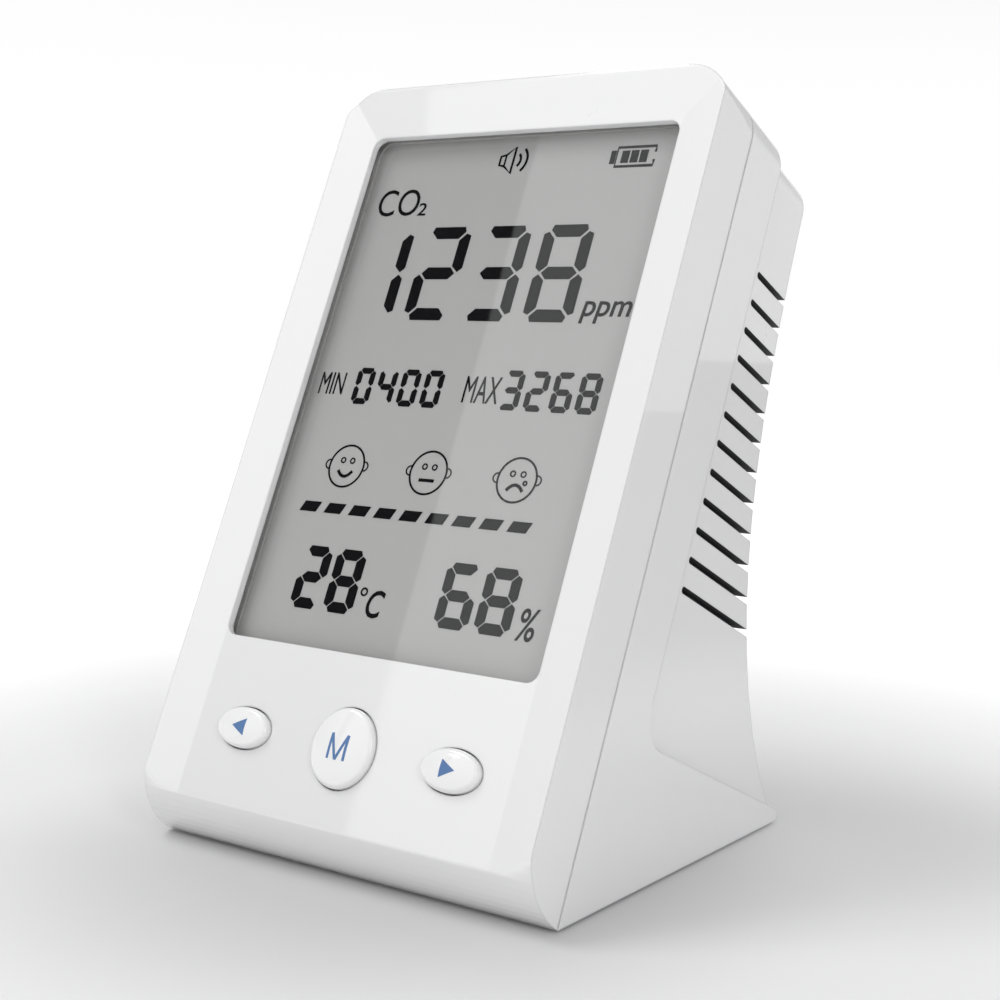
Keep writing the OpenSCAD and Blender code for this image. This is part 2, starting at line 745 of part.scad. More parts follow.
// Ring of points round a lead's path at one point, in a plane across direction d
function ring(p, d, r) =
    let (side = cross(d, [1, 0.3, 0.2]) / norm(cross(d, [1, 0.3, 0.2])), up = cross(d, side) / norm(d))
    [for (k = [0:lead_sides - 1]) p + r * (cos(360 * k / lead_sides) * side + sin(360 * k / lead_sides) * up)];

// Round lead along four control points
module lead(a, b, c, d) {
    steps = 16;
    rings = [for (i = [0:steps]) ring(curve(a, b, c, d, i / steps), curve_slope(a, b, c, d, i / steps), lead_r)];
    n = lead_sides;
    polyhedron(
        points = [for (one = rings) each one],
        faces = concat(
            [[for (k = [0:n - 1]) k]],
            [for (i = [0:steps - 1]) for (k = [0:n - 1])
                [i * n + k, (i + 1) * n + k, (i + 1) * n + (k + 1) % n, i * n + (k + 1) % n]],
            [[for (k = [n - 1:-1:0]) steps * n + k]]));
}

// Place in upright axes of a point given across, in depth and up the slope
function upright(u, w, v) = [u, v * sin(lean) + w * cos(lean), v * cos(lean) - w * sin(lean)];

module battery_lead(side, end_u) {
    start = upright(socket_u + side * 1.1, board_back_w + socket_t / 2, socket_v - 3);
    down = upright(0, 0, 0) - upright(0, 0, 9);
    stop = [end_u, cell_y - cell_r * 0.5, cell_z + cell_r * 0.87 + lead_r + 0.3];
    translate([0, -middle_y, 0]) lead(start, start + down, stop + [0, -6, 4], stop);
}
module red_lead() color("red") battery_lead(-1, -cell_len / 2 + 3);
module black_lead() color("black") battery_lead(1, -cell_len / 2 + 16);

module battery_cell() color("royalblue") translate([0, cell_y - middle_y, cell_z]) rotate([0, 90, 0]) {
    cylinder(r = cell_r, h = cell_len, center = true);
    translate([0, 0, cell_len / 2 - eps]) cylinder(r = 3, h = 0.8);
}

// Foam pads between the cell and the floor
module cell_pads() color("dimgray") translate([0, -middle_y, 0]) for (side = [-1, 1]) difference() {
    translate([side * 9 - pad_w / 2, cell_y - 5, sole_z + wall]) cube([pad_w, 10, 3]);
    translate([0, cell_y, cell_z]) rotate([0, 90, 0])
        cylinder(r = cell_r + fit / 2, h = cell_len, center = true, $fn = 96);
}

module sensor_board() color("seagreen") slab()
    block(-sensor_board_half_w, sensor_board_half_w, sensor_board_w0, sensor_board_w0 + board_t,
        sensor_v - sensor_board_h / 2, sensor_v + sensor_board_h / 2);

module sensor_chamber() color("gold") slab() difference() {
    block(-chamber_len / 2, chamber_len / 2, chamber_w0, chamber_w0 + chamber_t,
        sensor_v - chamber_h / 2, sensor_v + chamber_h / 2);
    // gas tunnel from end to end, open at the back under the filter
    translate([0, chamber_w0 + chamber_t / 2, sensor_v]) rotate([0, 90, 0])
        cylinder(r = 3, h = chamber_len + 2, center = true);
    block(-chamber_len / 4, chamber_len / 4, chamber_w0 + chamber_t / 2, chamber_w0 + chamber_t + 1,
        sensor_v - 2, sensor_v + 2);
}

module sensor_filter() color("white") slab()
    block(-chamber_len / 4 - 2, chamber_len / 4 + 2, chamber_w0 + chamber_t,
        chamber_w0 + chamber_t + filter_t, sensor_v - 5, sensor_v + 5);

module infrared_lamp() color("silver") slab()
    translate([-chamber_len / 2 - 0.6, chamber_w0 + chamber_t / 2, sensor_v]) rotate([0, 90, 0])
        cylinder(r = 2.9, h = 4.6);

module infrared_detector() color("silver") slab()
    translate([chamber_len / 2 - 4, chamber_w0 + chamber_t / 2, sensor_v]) rotate([0, 90, 0])
        cylinder(r = 2.9, h = 4.6);

module sensor_pins() color("gold") slab() for (side = [-1, 1]) for (i = [0:pin_count - 1]) {
    u = side * (sensor_board_half_w - 1.3);
    v = sensor_v + (i - (pin_count - 1) / 2) * pin_pitch;
    block(u - pin_side / 2, u + pin_side / 2, board_back_w, sensor_board_w0, v - pin_side / 2, v + pin_side / 2);
}

module humidity_sensor() color("black") slab() difference() {
    block(board_half_w - 5, board_half_w - 2, board_back_w, board_back_w + 1.1,
        vent_low_v + 10, vent_low_v + 13);
    bar(board_half_w - 3.5, vent_low_v + 11.5, board_back_w + 0.5, board_back_w + 2, 0.6);
}

front_shell();
rear_shell();
rubber_feet();
case_screws();
dust_screen();
left_button();
mode_button();
right_button();
left_switch();
mode_switch();
right_switch();
left_plunger();
mode_plunger();
right_plunger();
display_window();
window_gasket();
front_polariser();
front_glass();
rear_glass();
rear_polariser();
diffuser_sheet();
light_guide();
reflector_sheet();
display_frame();
backlight_strip();
backlight_leds();
contact_strip();
main_board();
board_screws();
microcontroller();
clock_crystal();
charger_chip();
small_components();
buzzer();
usb_socket();
battery_socket();
battery_plug();
red_lead();
black_lead();
battery_cell();
cell_pads();
sensor_board();
sensor_chamber();
sensor_filter();
infrared_lamp();
infrared_detector();
sensor_pins();
humidity_sensor();
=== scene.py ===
import json
import math

import bmesh
import bpy
import numpy as np
from mathutils import Matrix, Vector


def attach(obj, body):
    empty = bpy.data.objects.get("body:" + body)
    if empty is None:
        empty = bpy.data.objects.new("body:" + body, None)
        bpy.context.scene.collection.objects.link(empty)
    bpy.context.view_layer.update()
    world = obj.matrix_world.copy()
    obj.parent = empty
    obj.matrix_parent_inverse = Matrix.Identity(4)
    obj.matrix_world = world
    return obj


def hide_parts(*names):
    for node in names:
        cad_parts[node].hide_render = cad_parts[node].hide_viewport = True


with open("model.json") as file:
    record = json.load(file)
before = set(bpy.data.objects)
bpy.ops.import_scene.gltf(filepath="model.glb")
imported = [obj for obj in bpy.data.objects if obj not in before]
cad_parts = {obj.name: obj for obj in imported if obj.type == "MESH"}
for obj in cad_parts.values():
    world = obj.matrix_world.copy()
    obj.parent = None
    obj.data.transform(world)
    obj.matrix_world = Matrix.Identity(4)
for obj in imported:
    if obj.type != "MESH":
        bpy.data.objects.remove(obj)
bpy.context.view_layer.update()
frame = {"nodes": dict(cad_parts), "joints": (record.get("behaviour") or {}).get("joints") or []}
nodes = frame["nodes"]

MM = 0.001

# ---------------------------------------------------------------- camera
CAMERA_PLACE = (157.1, -218.4, 81.3)
CAMERA_TURN = 35.28
CAMERA_DIP = 5.85
CAMERA_ROLL = 1.14
LENS = 60.45


def aim(place, turn, dip, roll):
    """Matrix of something that looks level along +Y, turned left by turn, dipped and rolled, in degrees."""
    swing = Matrix.Rotation(math.radians(turn), 4, "Z")
    nod = Matrix.Rotation(math.radians(90 - dip), 4, "X")
    twist = Matrix.Rotation(math.radians(roll), 4, "Z")
    return Matrix.Translation(Vector(place) * MM) @ swing @ nod @ twist


camera = bpy.data.objects.new("camera", bpy.data.cameras.new("camera"))
camera.data.lens = LENS
camera.data.clip_start = 0.01
camera.matrix_world = aim(CAMERA_PLACE, CAMERA_TURN, CAMERA_DIP, CAMERA_ROLL)
bpy.context.scene.collection.objects.link(camera)
bpy.context.scene.camera = camera

# ---------------------------------------------------------------- the leaning slab
WINDOW_STEP = 1.2
WINDOW_HALF_W = 29.76
WINDOW_TOP = 123.76
KEY_V = 21.4


def points_of(mesh):
    """Corners of a mesh, one row each, in metres."""
    flat = np.empty(len(mesh.vertices) * 3)
    mesh.vertices.foreach_get("co", flat)
    return flat.reshape(-1, 3)


axis = np.array(frame["joints"][0]["axis"], float)
INTO = axis * np.sign(axis[1])
UP = np.array([0.0, -INTO[2], INTO[1]])
window_front = (points_of(nodes["display_window"].data) @ INTO).min() / MM
MIDDLE_Y = (WINDOW_STEP - window_front) / INTO[1]


def slab(u, v, w):
    """u across, v up the slope, w into it, in mm from the window plane's foot: u X + v UP + w INTO - middle."""
    u, v, w = np.broadcast_arrays(np.asarray(u, float), v, w)
    place = u[..., None] * [1.0, 0.0, 0.0] + v[..., None] * UP + w[..., None] * INTO
    return (place - [0.0, MIDDLE_Y, 0.0]) * MM


def slab_places(mesh):
    """u, v and w of a mesh's corners, in mm: the opposite of slab()."""
    place = points_of(mesh) / MM + [0.0, MIDDLE_Y, 0.0]
    return place[:, 0], place @ UP, place @ INTO


# ---------------------------------------------------------------- mesh helpers
def solid(name, verts, faces, body, finish, smooth=None):
    """One object from corners in metres and faces; it rides on a body."""
    mesh = bpy.data.meshes.new(name)
    mesh.from_pydata(np.asarray(verts).tolist(), [], [list(map(int, f)) for f in faces])
    mesh.validate()
    made = bpy.data.objects.new(name, mesh)
    bpy.context.scene.collection.objects.link(made)
    mesh.materials.append(finish)
    if smooth:
        mesh.shade_smooth()
        mesh.set_sharp_from_angle(angle=math.radians(smooth))
    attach(made, body)
    return made


def ring_faces(rows, around):
    """Quads of a grid of rows by around points that closes on itself sideways."""
    i = np.arange(rows - 1)[:, None] * around
    j = np.arange(around)[None, :]
    k = (j + 1) % around
    return np.stack([i + j, i + k, i + around + k, i + around + j], -1).reshape(-1, 4)


class Heap:
    """Gathers small solids into one mesh."""

    def __init__(self):
        self.verts = []
        self.faces = []
        self.count = 0

    def add(self, verts, faces):
        verts = np.asarray(verts, float).reshape(-1, 3)
        self.faces += [[int(c) + self.count for c in f] for f in faces]
        self.verts.append(verts)
        self.count += len(verts)

    def prism(self, outline, front, back):
        """Solid over an anticlockwise outline of (u, v) points, from depth front to depth back."""
        outline = np.asarray(outline, float)
        n = len(outline)
        lay = np.concatenate([slab(outline[:, 0], outline[:, 1], front), slab(outline[:, 0], outline[:, 1], back)])
        ring = np.arange(n)
        nxt = (ring + 1) % n
        sides = np.stack([ring, ring + n, nxt + n, nxt], -1).tolist()
        self.add(lay, [ring.tolist(), (ring + n)[::-1].tolist()] + sides)

    def stroke(self, line, width, front, back, closed=False):
        """Solid band along a line of (u, v) points: each point moves half the width to either side of the
        line's own direction. front and back are depths, or functions of u and v."""
        line = np.asarray(line, float)
        if closed:
            run = np.roll(line, -1, 0) - np.roll(line, 1, 0)
        else:
            run = np.gradient(line, axis=0)
        run /= np.linalg.norm(run, axis=1)[:, None]
        off = np.stack([-run[:, 1], run[:, 0]], 1) * width / 2
        left, right = line + off, line - off
        near = front if callable(front) else (lambda u, v: u * 0 + front)
        far = back if callable(back) else (lambda u, v: u * 0 + back)
        sides = (right, near), (left, near), (left, far), (right, far)
        lay = [slab(side[:, 0], side[:, 1], depth(side[:, 0], side[:, 1])) for side, depth in sides]
        verts = np.stack(lay, 1).reshape(-1, 3)
        n = len(line)
        faces = ring_faces(n, 4).tolist()
        if closed:
            last = np.array([4 * (n - 1) + c for c in range(4)])
            faces += [[last[c], last[(c + 1) % 4], (c + 1) % 4, c] for c in range(4)]
        else:
            faces += [[3, 2, 1, 0], [4 * (n - 1) + c for c in range(4)]]
        self.add(verts, faces)

    def build(self, name, body, finish, smooth=None):
        """The heap as one object, with its faces turned outwards."""
        made = solid(name, np.concatenate(self.verts), self.faces, body, finish, smooth)
        work = bmesh.new()
        work.from_mesh(made.data)
        bmesh.ops.recalc_face_normals(work, faces=work.faces)
        work.to_mesh(made.data)
        work.free()
        return made


# ---------------------------------------------------------------- materials
class Wire:
    """An output that can be used in arithmetic; each operation adds one Math node."""

    def __init__(self, finish, socket):
        self.finish = finish
        self.socket = socket

    def math(self, operation, left, right):
        return self.finish.node("ShaderNodeMath", {"operation": operation}, {0: left, 1: right})

    def __add__(self, other):
        return self.math("ADD", self, other)

    def __radd__(self, other):
        return self.math("ADD", other, self)

    def __sub__(self, other):
        return self.math("SUBTRACT", self, other)

    def __rsub__(self, other):
        return self.math("SUBTRACT", other, self)

    def __mul__(self, other):
        return self.math("MULTIPLY", self, other)

    def least(self, other):
        return self.math("MINIMUM", self, other)

    def most(self, other):
        return self.math("MAXIMUM", self, other)


class Finish:
    """One material: its shader and the nodes that feed it."""

    def __init__(self, name, color, roughness, **settings):
        self.material = bpy.data.materials.new(name)
        self.material.use_nodes = True
        self.tree = self.material.node_tree
        self.shader = self.tree.nodes["Principled BSDF"]
        self.color = color
        self.set("Base Color", (*color, 1))
        self.set("Roughness", roughness)
        for label, value in settings.items():
            self.set(label.replace("_", " "), value)

    def set(self, label, value):
        self.feed(self.shader.inputs[label], value)

    def feed(self, socket, value):
        if isinstance(value, Wire):
            self.tree.links.new(value.socket, socket)
        else:
            socket.default_value = value

    def node(self, kind, settings=None, inputs=None, output=0):
        made = self.tree.nodes.new(kind)
        for label, value in (settings or {}).items():
            setattr(made, label, value)
        for label, value in (inputs or {}).items():
            self.feed(made.inputs[label], value)
        return Wire(self, made.outputs[output])

    def place(self, size, stretch=(1, 1, 1)):
        """Object coordinates, divided by a size in mm along each axis."""
        here = self.node("ShaderNodeTexCoord", output=3)
        scale = [1 / (size * MM * s) for s in stretch]
        return self.node("ShaderNodeMapping", inputs={"Vector": here, "Scale": scale})

    def noise(self, size, detail=2.0, stretch=(1, 1, 1), rough=0.5):
        return self.node("ShaderNodeTexNoise", inputs={
            "Vector": self.place(size, stretch), "Scale": 1.0, "Detail": detail, "Roughness": rough})

    def cells(self, size, stretch=(1, 1, 1)):
        return self.node("ShaderNodeTexVoronoi", inputs={"Vector": self.place(size, stretch), "Scale": 1.0})

    def ramp(self, value, low, high, out_low=0.0, out_high=1.0):
        """Smooth step of a value from low to high."""
        return self.node("ShaderNodeMapRange", {"interpolation_type": "SMOOTHSTEP"},
                         {0: value, 1: low, 2: high, 3: out_low, 4: out_high})

    def mix(self, share, first, second):
        first = (*first, 1) if isinstance(first, tuple) else first
        second = (*second, 1) if isinstance(second, tuple) else second
        return self.node("ShaderNodeMix", {"data_type": "RGBA"}, {0: share, 6: first, 7: second}, output=2)

    def tint(self, share, spread):
        """The base colour, darker by spread where share is 0."""
        dark = tuple(c * (1 - spread) for c in self.color)
        self.set("Base Color", self.mix(share, dark, self.color))

    def relief(self, height, depth, edge=0.0):
        """Bump of a height from 0 to 1 over a depth in mm, on edges eased by a radius in mm."""
        inputs = {"Strength": 1.0, "Distance": depth * MM, "Height": height}
        if edge:
            inputs["Normal"] = self.node("ShaderNodeBevel", {"samples": 6}, {"Radius": edge * MM})
        self.set("Normal", self.node("ShaderNodeBump", inputs=inputs))


def moulded(name, color, roughness, grain=0.35, depth=0.004, edge=0.25, spread=0.03, **settings):
    """Moulded plastic: fine grain from the tool, faint flow marks, eased edges."""
    f = Finish(name, color, roughness, **settings)
    fine = f.noise(grain, 3)
    broad = f.noise(18, 2)
    f.tint(broad, spread)
    f.set("Roughness", roughness + (broad - 0.5) * 0.08 + (fine - 0.5) * 0.05)
    f.relief(fine, depth, edge)
    return f.material


def metal(name, color, roughness, stretch=(6, 1, 1), grain=0.2, depth=0.004, edge=0.1):
    """Drawn or plated metal: fine lines along one direction and a patchy dulling."""
    f = Finish(name, color, roughness, Metallic=1.0)
    lines = f.noise(grain, 3, stretch)
    dull = f.noise(3, 2)
    f.tint(lines, 0.18)
    f.set("Roughness", roughness + (lines - 0.5) * 0.2 + dull * 0.1)
    f.relief(lines, depth, edge)
    return f.material


def sheeted(name, color, roughness, grain=0.08, spread=0.05, **settings):
    """Thin film or glass: a fine even haze and broad thickness changes."""
    f = Finish(name, color, roughness, **settings)
    haze = f.noise(grain, 2)
    broad = f.noise(25, 1)
    f.tint(broad, spread)
    f.set("Roughness", roughness + (haze - 0.5) * 0.06)
    f.relief(haze, 0.001)
    return f.material


def board(name, color):
    """Circuit board: lacquered fibre with fine tracks and small round pads."""
    f = Finish(name, color, 0.35, Coat_Weight=0.3)
    weave = f.noise(0.4, 2, (3, 1, 1))
    cells = f.cells(2.2, (1, 1, 1))
    pads = f.ramp(cells, 0.22, 0.18)
    tracks = f.node("ShaderNodeTexWave", {"wave_type": "BANDS", "bands_direction": "X"}, {
        "Vector": f.place(1.1), "Scale": 1.0, "Distortion": 3.0, "Detail": 1.0, "Detail Scale": 0.3}, output=1)
    lines = f.ramp(tracks, 0.62, 0.7)
    light = tuple(min(1.0, c * 1.9 + 0.01) for c in color)
    base = f.mix(lines, color, light)
    f.set("Base Color", f.mix(pads, base, (0.72, 0.55, 0.22)))
    f.set("Metallic", pads * 0.9)
    f.set("Roughness", 0.42 - pads * 0.15 + (weave - 0.5) * 0.1)
    f.relief(weave * 0.3 + lines * 0.5, 0.02)
    return f.material


def porous(name, color, grain, depth, roughness=0.9):
    """Foam, felt or rubber: small open cells."""
    f = Finish(name, color, roughness)
    cells = f.cells(grain)
    broad = f.noise(grain * 12, 2)
    f.tint(cells.least(1.0) * 0.7 + broad * 0.3, 0.35)
    f.relief(cells, depth, 0.15)
    return f.material


def lens_finish(name):
    """Clear lens: see-through, with a sheen of reflection that a faint wiping haze breaks up."""
    f = Finish(name, (0.95, 0.96, 0.96), 0.03, Metallic=1.0)
    haze = f.noise(22, 3, (1, 1, 3))
    f.tint(haze, 0.03)
    f.set("Roughness", 0.005 + haze * 0.012)
    f.set("Alpha", 0.036 + (haze - 0.5) * 0.006)
    return f.material


def screen_ground(name):
    """Reflective display ground: warm grey, a little darker up the slope, with a very fine grain."""
    f = Finish(name, (0.43, 0.43, 0.426), 0.5, Specular_IOR_Level=0.25)
    grain = f.noise(0.35, 2)
    drift = f.noise(60, 1)
    here = f.node("ShaderNodeTexCoord", output=3)
    height = f.node("ShaderNodeSeparateXYZ", inputs={0: here}, output=2)
    darker = tuple(c * 0.84 for c in f.color)
    shade = f.mix(f.ramp(height, 0.02, 0.13), f.color, darker)
    f.set("Base Color", f.mix(grain * 0.04 + drift * 0.06, shade, (0.3, 0.3, 0.3)))
    f.set("Roughness", 0.44 + grain * 0.1)
    return f.material


finishes = {
    "shell_white": moulded("shell_white", (0.8, 0.8, 0.805), 0.3, grain=0.8, depth=0.0003, edge=0.5,
                           spread=0.008, Coat_Weight=1.0, Coat_Roughness=0.03, Coat_IOR=1.7),
    "key_white": moulded("key_white", (0.83, 0.83, 0.835), 0.16, grain=0.6, depth=0.0004, edge=0.2,
                         spread=0.012, Coat_Weight=0.6, Coat_Roughness=0.05),
    "clear_lens": lens_finish("clear_lens"),
    "display_glass": sheeted("display_glass", (0.5, 0.53, 0.52), 0.08, Coat_Weight=0.4),
    "polariser_grey": screen_ground("polariser_grey"),
    "film_white": sheeted("film_white", (0.8, 0.8, 0.79), 0.55),
    "clear_guide": sheeted("clear_guide", (0.78, 0.82, 0.84), 0.12, Coat_Weight=0.5),
    "frame_ivory": moulded("frame_ivory", (0.72, 0.7, 0.63), 0.5),
    "foam_black": porous("foam_black", (0.02, 0.02, 0.022), 0.35, 0.05),
    "elastomer": porous("elastomer", (0.12, 0.115, 0.11), 0.25, 0.02, 0.7),
    "board_green": board("board_green", (0.012, 0.11, 0.045)),
    "chip_black": moulded("chip_black", (0.018, 0.018, 0.02), 0.55, grain=0.12, depth=0.006, edge=0.08),
    "switch_black": moulded("switch_black", (0.03, 0.03, 0.032), 0.5, edge=0.12),
    "plunger_black": moulded("plunger_black", (0.022, 0.022, 0.022), 0.35, edge=0.15),
    "bright_steel": metal("bright_steel", (0.62, 0.62, 0.64), 0.22),
    "can_steel": metal("can_steel", (0.7, 0.7, 0.71), 0.28, (1, 1, 5)),
    "gilt": metal("gilt", (0.83, 0.62, 0.28), 0.25),
    "lamp_yellow": moulded("lamp_yellow", (0.8, 0.68, 0.12), 0.3, edge=0.08),
    "parts_tan": moulded("parts_tan", (0.45, 0.33, 0.2), 0.5, grain=0.1, edge=0.05),
    "connector_ivory": moulded("connector_ivory", (0.74, 0.71, 0.62), 0.45, edge=0.12),
    "lead_red": moulded("lead_red", (0.5, 0.02, 0.015), 0.42, grain=0.25, edge=0.0),
    "lead_black": moulded("lead_black", (0.02, 0.02, 0.02), 0.42, grain=0.25, edge=0.0),
    "cell_blue": moulded("cell_blue", (0.03, 0.1, 0.32), 0.3, grain=0.9, depth=0.01, spread=0.12),
    "foot_rubber": porous("foot_rubber", (0.05, 0.05, 0.052), 0.3, 0.012, 0.75),
    "screen_grey": porous("screen_grey", (0.03, 0.03, 0.032), 0.5, 0.15),
    # painted shade: near-black colour for the vent slots' walls, standing in for the unlit housing behind them
    "vent_painted_shade": moulded("vent_painted_shade", (0.07, 0.07, 0.072), 0.7, grain=0.4, depth=0.004, edge=0.0),
    "foam_grey": porous("foam_grey", (0.42, 0.42, 0.41), 0.3, 0.02),
    "filter_white": porous("filter_white", (0.75, 0.75, 0.73), 0.15, 0.02),
}
ink = moulded("display_ink", (0.006, 0.006, 0.007), 0.6, grain=0.2, depth=0.0003, edge=0.0, spread=0.3,
              Specular_IOR_Level=0.0)
mark_blue = moulded("mark_blue", (0.09, 0.19, 0.4), 0.3, grain=0.2, depth=0.001, edge=0.0, spread=0.1)

for name, node in nodes.items():
    slots = node.data.materials
    for index in range(len(slots)):
        slots[index] = finishes[slots[index].name.split(".")[0]]
nodes["window_gasket"].data.materials[0] = finishes["foam_grey"]


# ---------------------------------------------------------------- shells
BAND_W = 7.0
TOP_BAND_H = 8.0
CREASE_REACH = 0.04
MERGE_REACH = 0.002
FLAT_WITHIN = math.radians(0.4)
SHARP_FROM = math.radians(28)
VENT_LOW = 57.0
VENT_PITCH = 4.73
VENT_H = 1.1
VENT_FRONT = 21.0


def crease(mesh):
    """Marks as sharp the edges where the front's sloping bands meet the window plane and each other: there
    u is the window's half width, or v its top, or (u - half width) / band is (v - top) / top band."""
    u, v, w = slab_places(mesh)
    u = np.abs(u)
    level = np.abs(w) < CREASE_REACH
    out = (u - WINDOW_HALF_W) / BAND_W
    up = (v - WINDOW_TOP) / TOP_BAND_H
    mitre = (up > -0.01) & (np.abs(out - up) * BAND_W < CREASE_REACH)
    loci = [level & (np.abs(u - WINDOW_HALF_W) < CREASE_REACH),
            level & (np.abs(v - WINDOW_TOP) < CREASE_REACH),
            (w < CREASE_REACH) & mitre]
    ends = np.empty(len(mesh.edges) * 2, int)
    mesh.edges.foreach_get("vertices", ends)
    ends = ends.reshape(-1, 2)
    attribute = mesh.attributes.get("sharp_edge") or mesh.attributes.new("sharp_edge", "BOOLEAN", "EDGE")
    sharp = np.empty(len(mesh.edges), bool)
    attribute.data.foreach_get("value", sharp)
    for locus in loci:
        sharp |= locus[ends].all(1)
    attribute.data.foreach_set("value", sharp)


def smoothed(node, name, slot):
    """A CAD node's shape with its corners merged, its flats made whole and its curves shaded smooth."""
    mesh = nodes[node].data.copy()
    work = bmesh.new()
    work.from_mesh(mesh)
    bmesh.ops.remove_doubles(work, verts=work.verts, dist=MERGE_REACH * MM)
    bmesh.ops.dissolve_limit(work, angle_limit=FLAT_WITHIN, verts=work.verts, edges=work.edges)
    work.to_mesh(mesh)
    work.free()
    mesh.materials.clear()
    mesh.materials.append(finishes[slot])
    made = bpy.data.objects.new(name, mesh)
    bpy.context.scene.collection.objects.link(made)
    mesh.shade_smooth()
    mesh.set_sharp_from_angle(angle=SHARP_FROM)
    crease(mesh)
    weighted = made.modifiers.new("normals", "WEIGHTED_NORMAL")
    weighted.keep_sharp = True
    weighted.weight = 100
    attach(made, "monitor")
    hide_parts(node)
    return made


def paint_vent_shade(made):
    """Paints shade on the vent slots' own walls: a near-black painted shade stands in for the unlit housing behind
    them. A face is one of them when it is no taller up the slope than a slot and its middle lies in a slot, |((v -
    lowest) mod pitch, centred)| <= height / 2."""
    mesh = made.data
    mesh.materials.append(finishes["vent_painted_shade"])
    _, v, w = slab_places(mesh)
    corners = np.empty(len(mesh.loops), int)
    mesh.loops.foreach_get("vertex_index", corners)
    starts = np.empty(len(mesh.polygons), int)
    mesh.polygons.foreach_get("loop_start", starts)
    low = np.minimum.reduceat(v[corners], starts)
    high = np.maximum.reduceat(v[corners], starts)
    deep = np.minimum.reduceat(w[corners], starts)
    middle = ((low + high) / 2 - VENT_LOW + VENT_PITCH / 2) % VENT_PITCH - VENT_PITCH / 2
    inside = (high - low < VENT_H + 0.05) & (np.abs(middle) <= VENT_H / 2 + 0.01) & (deep > VENT_FRONT)
    inside &= (low > VENT_LOW - VENT_H) & (high < WINDOW_TOP)
    mesh.polygons.foreach_set("material_index", inside.astype(np.int32))


smoothed("front_shell", "front_skin", "shell_white")
# the rear shell's vent slots get painted shade on their walls
paint_vent_shade(smoothed("rear_shell", "rear_skin", "shell_white"))

# ---------------------------------------------------------------- keys
MODE_SIZE = (11.3, 12.1)
ARROW_SIZE = (10.1, 6.3)
ARROW_U = 19.8
KEY_STAND = 0.9
KEY_CROWN = 0.8
KEY_SHOULDER = 0.85
KEY_WALL = 2.55
KEY_GAP = 0.2
KEY_FLANGE = 0.8
KEY_FLANGE_T = 0.9
STEM_R = 1.5
STEM_END = 5.5


def dome_depth(u, v, key_u, size):
    """Depth of a key's crown: -stand - crown (1 - r^2), where r is 0 at its middle and 1 at its rim."""
    r2 = ((u - key_u) / (size[0] / 2)) ** 2 + ((v - KEY_V) / (size[1] / 2)) ** 2
    return -KEY_STAND - KEY_CROWN * (1 - r2)


def key_cap(name, body, key_u, size):
    """A profile carried round an oval: the crown out to its shoulder, a quarter round down to the side,
    the side, the flange, and the stem behind. Rows are (half width, half height, depth)."""
    half_u, half_v = size[0] / 2, size[1] / 2
    around = 96
    turn = np.linspace(0, 2 * np.pi, around, endpoint=False)
    share = np.sin(np.linspace(0.02, 1, 16) * np.pi / 2) * (1 - KEY_SHOULDER / half_v)
    crown_u, crown_v = share * half_u, share * half_v
    crown_w = -KEY_STAND - KEY_CROWN * (1 - share ** 2)
    bend = np.linspace(0, np.pi / 2, 7)[1:]
    rim_w = crown_w[-1]
    inset = KEY_SHOULDER * (1 - np.sin(bend))
    flange = KEY_GAP + KEY_FLANGE
    rows = np.concatenate([
        np.stack([crown_u, crown_v, crown_w], 1),
        np.stack([half_u - inset, half_v - inset, rim_w + KEY_SHOULDER * (1 - np.cos(bend))], 1),
        [[half_u, half_v, KEY_WALL],
         [half_u + flange, half_v + flange, KEY_WALL],
         [half_u + flange, half_v + flange, KEY_WALL + KEY_FLANGE_T],
         [STEM_R, STEM_R, KEY_WALL + KEY_FLANGE_T],
         [STEM_R, STEM_R, STEM_END]]])
    u = key_u + rows[:, :1] * np.cos(turn)
    v = KEY_V + rows[:, 1:2] * np.sin(turn)
    verts = slab(u, v, rows[:, 2:]).reshape(-1, 3)
    count = len(rows)
    faces = ring_faces(count, around).tolist()
    faces += [list(range(around)), list(range((count - 1) * around, count * around))]
    heap = Heap()
    heap.add(verts, faces)
    made = heap.build(name, body, finishes["key_white"], smooth=35)
    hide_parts(body.replace("_key", "_button"))
    return made


keys = {
    "left_key": (-ARROW_U, ARROW_SIZE),
    "mode_key": (0.0, MODE_SIZE),
    "right_key": (ARROW_U, ARROW_SIZE),
}
for body, (key_u, size) in keys.items():
    key_cap(body.replace("_key", "_cap"), body, key_u, size)


def printed(body, key_u, size, lines, width):
    """Printed mark on a crown: strokes that follow the crown's curve, a hair proud of it."""
    heap = Heap()
    for line in lines:
        steps = np.concatenate([np.linspace(a, b, 9)[:-1] for a, b in zip(line[:-1], line[1:])] + [line[-1:]])
        heap.stroke(steps, width, lambda u, v: dome_depth(u, v, key_u, size) - 0.02,
                    lambda u, v: dome_depth(u, v, key_u, size) + 0.1)
    heap.build(body.replace("_key", "_mark"), body, mark_blue)


def arrow_lines(key_u, way):
    """A filled triangle as a fan of close upright strokes, from its base to its point."""
    share = np.linspace(0, 1, 26)[:-1]
    base_u = key_u - way * 1.25
    place = base_u + way * share * 2.45
    half = 1.3 * (1 - share)
    return [np.array([[p, KEY_V - h], [p, KEY_V + h]]) for p, h in zip(place, half)]


for body, way in (("left_key", -1), ("right_key", 1)):
    printed(body, way * ARROW_U, ARROW_SIZE, arrow_lines(way * (ARROW_U + 0.2), way), 0.14)
M_HALF, M_LOW, M_HIGH = 1.5, KEY_V - 1.95, KEY_V + 1.85
printed("mode_key", 0.0, MODE_SIZE, [
    np.array([[-M_HALF, M_LOW], [-M_HALF, M_HIGH]]),
    np.array([[-M_HALF, M_HIGH], [0, M_LOW]]),
    np.array([[0, M_LOW], [M_HALF, M_HIGH]]),
    np.array([[M_HALF, M_HIGH], [M_HALF, M_LOW]]),
], 0.46)

# ---------------------------------------------------------------- what the display shows
SHOW_FRONT = 2.84
SHOW_BACK = 2.91
SHOW_SCALE = 1.0087
SHOW_SHIFT = -1.36

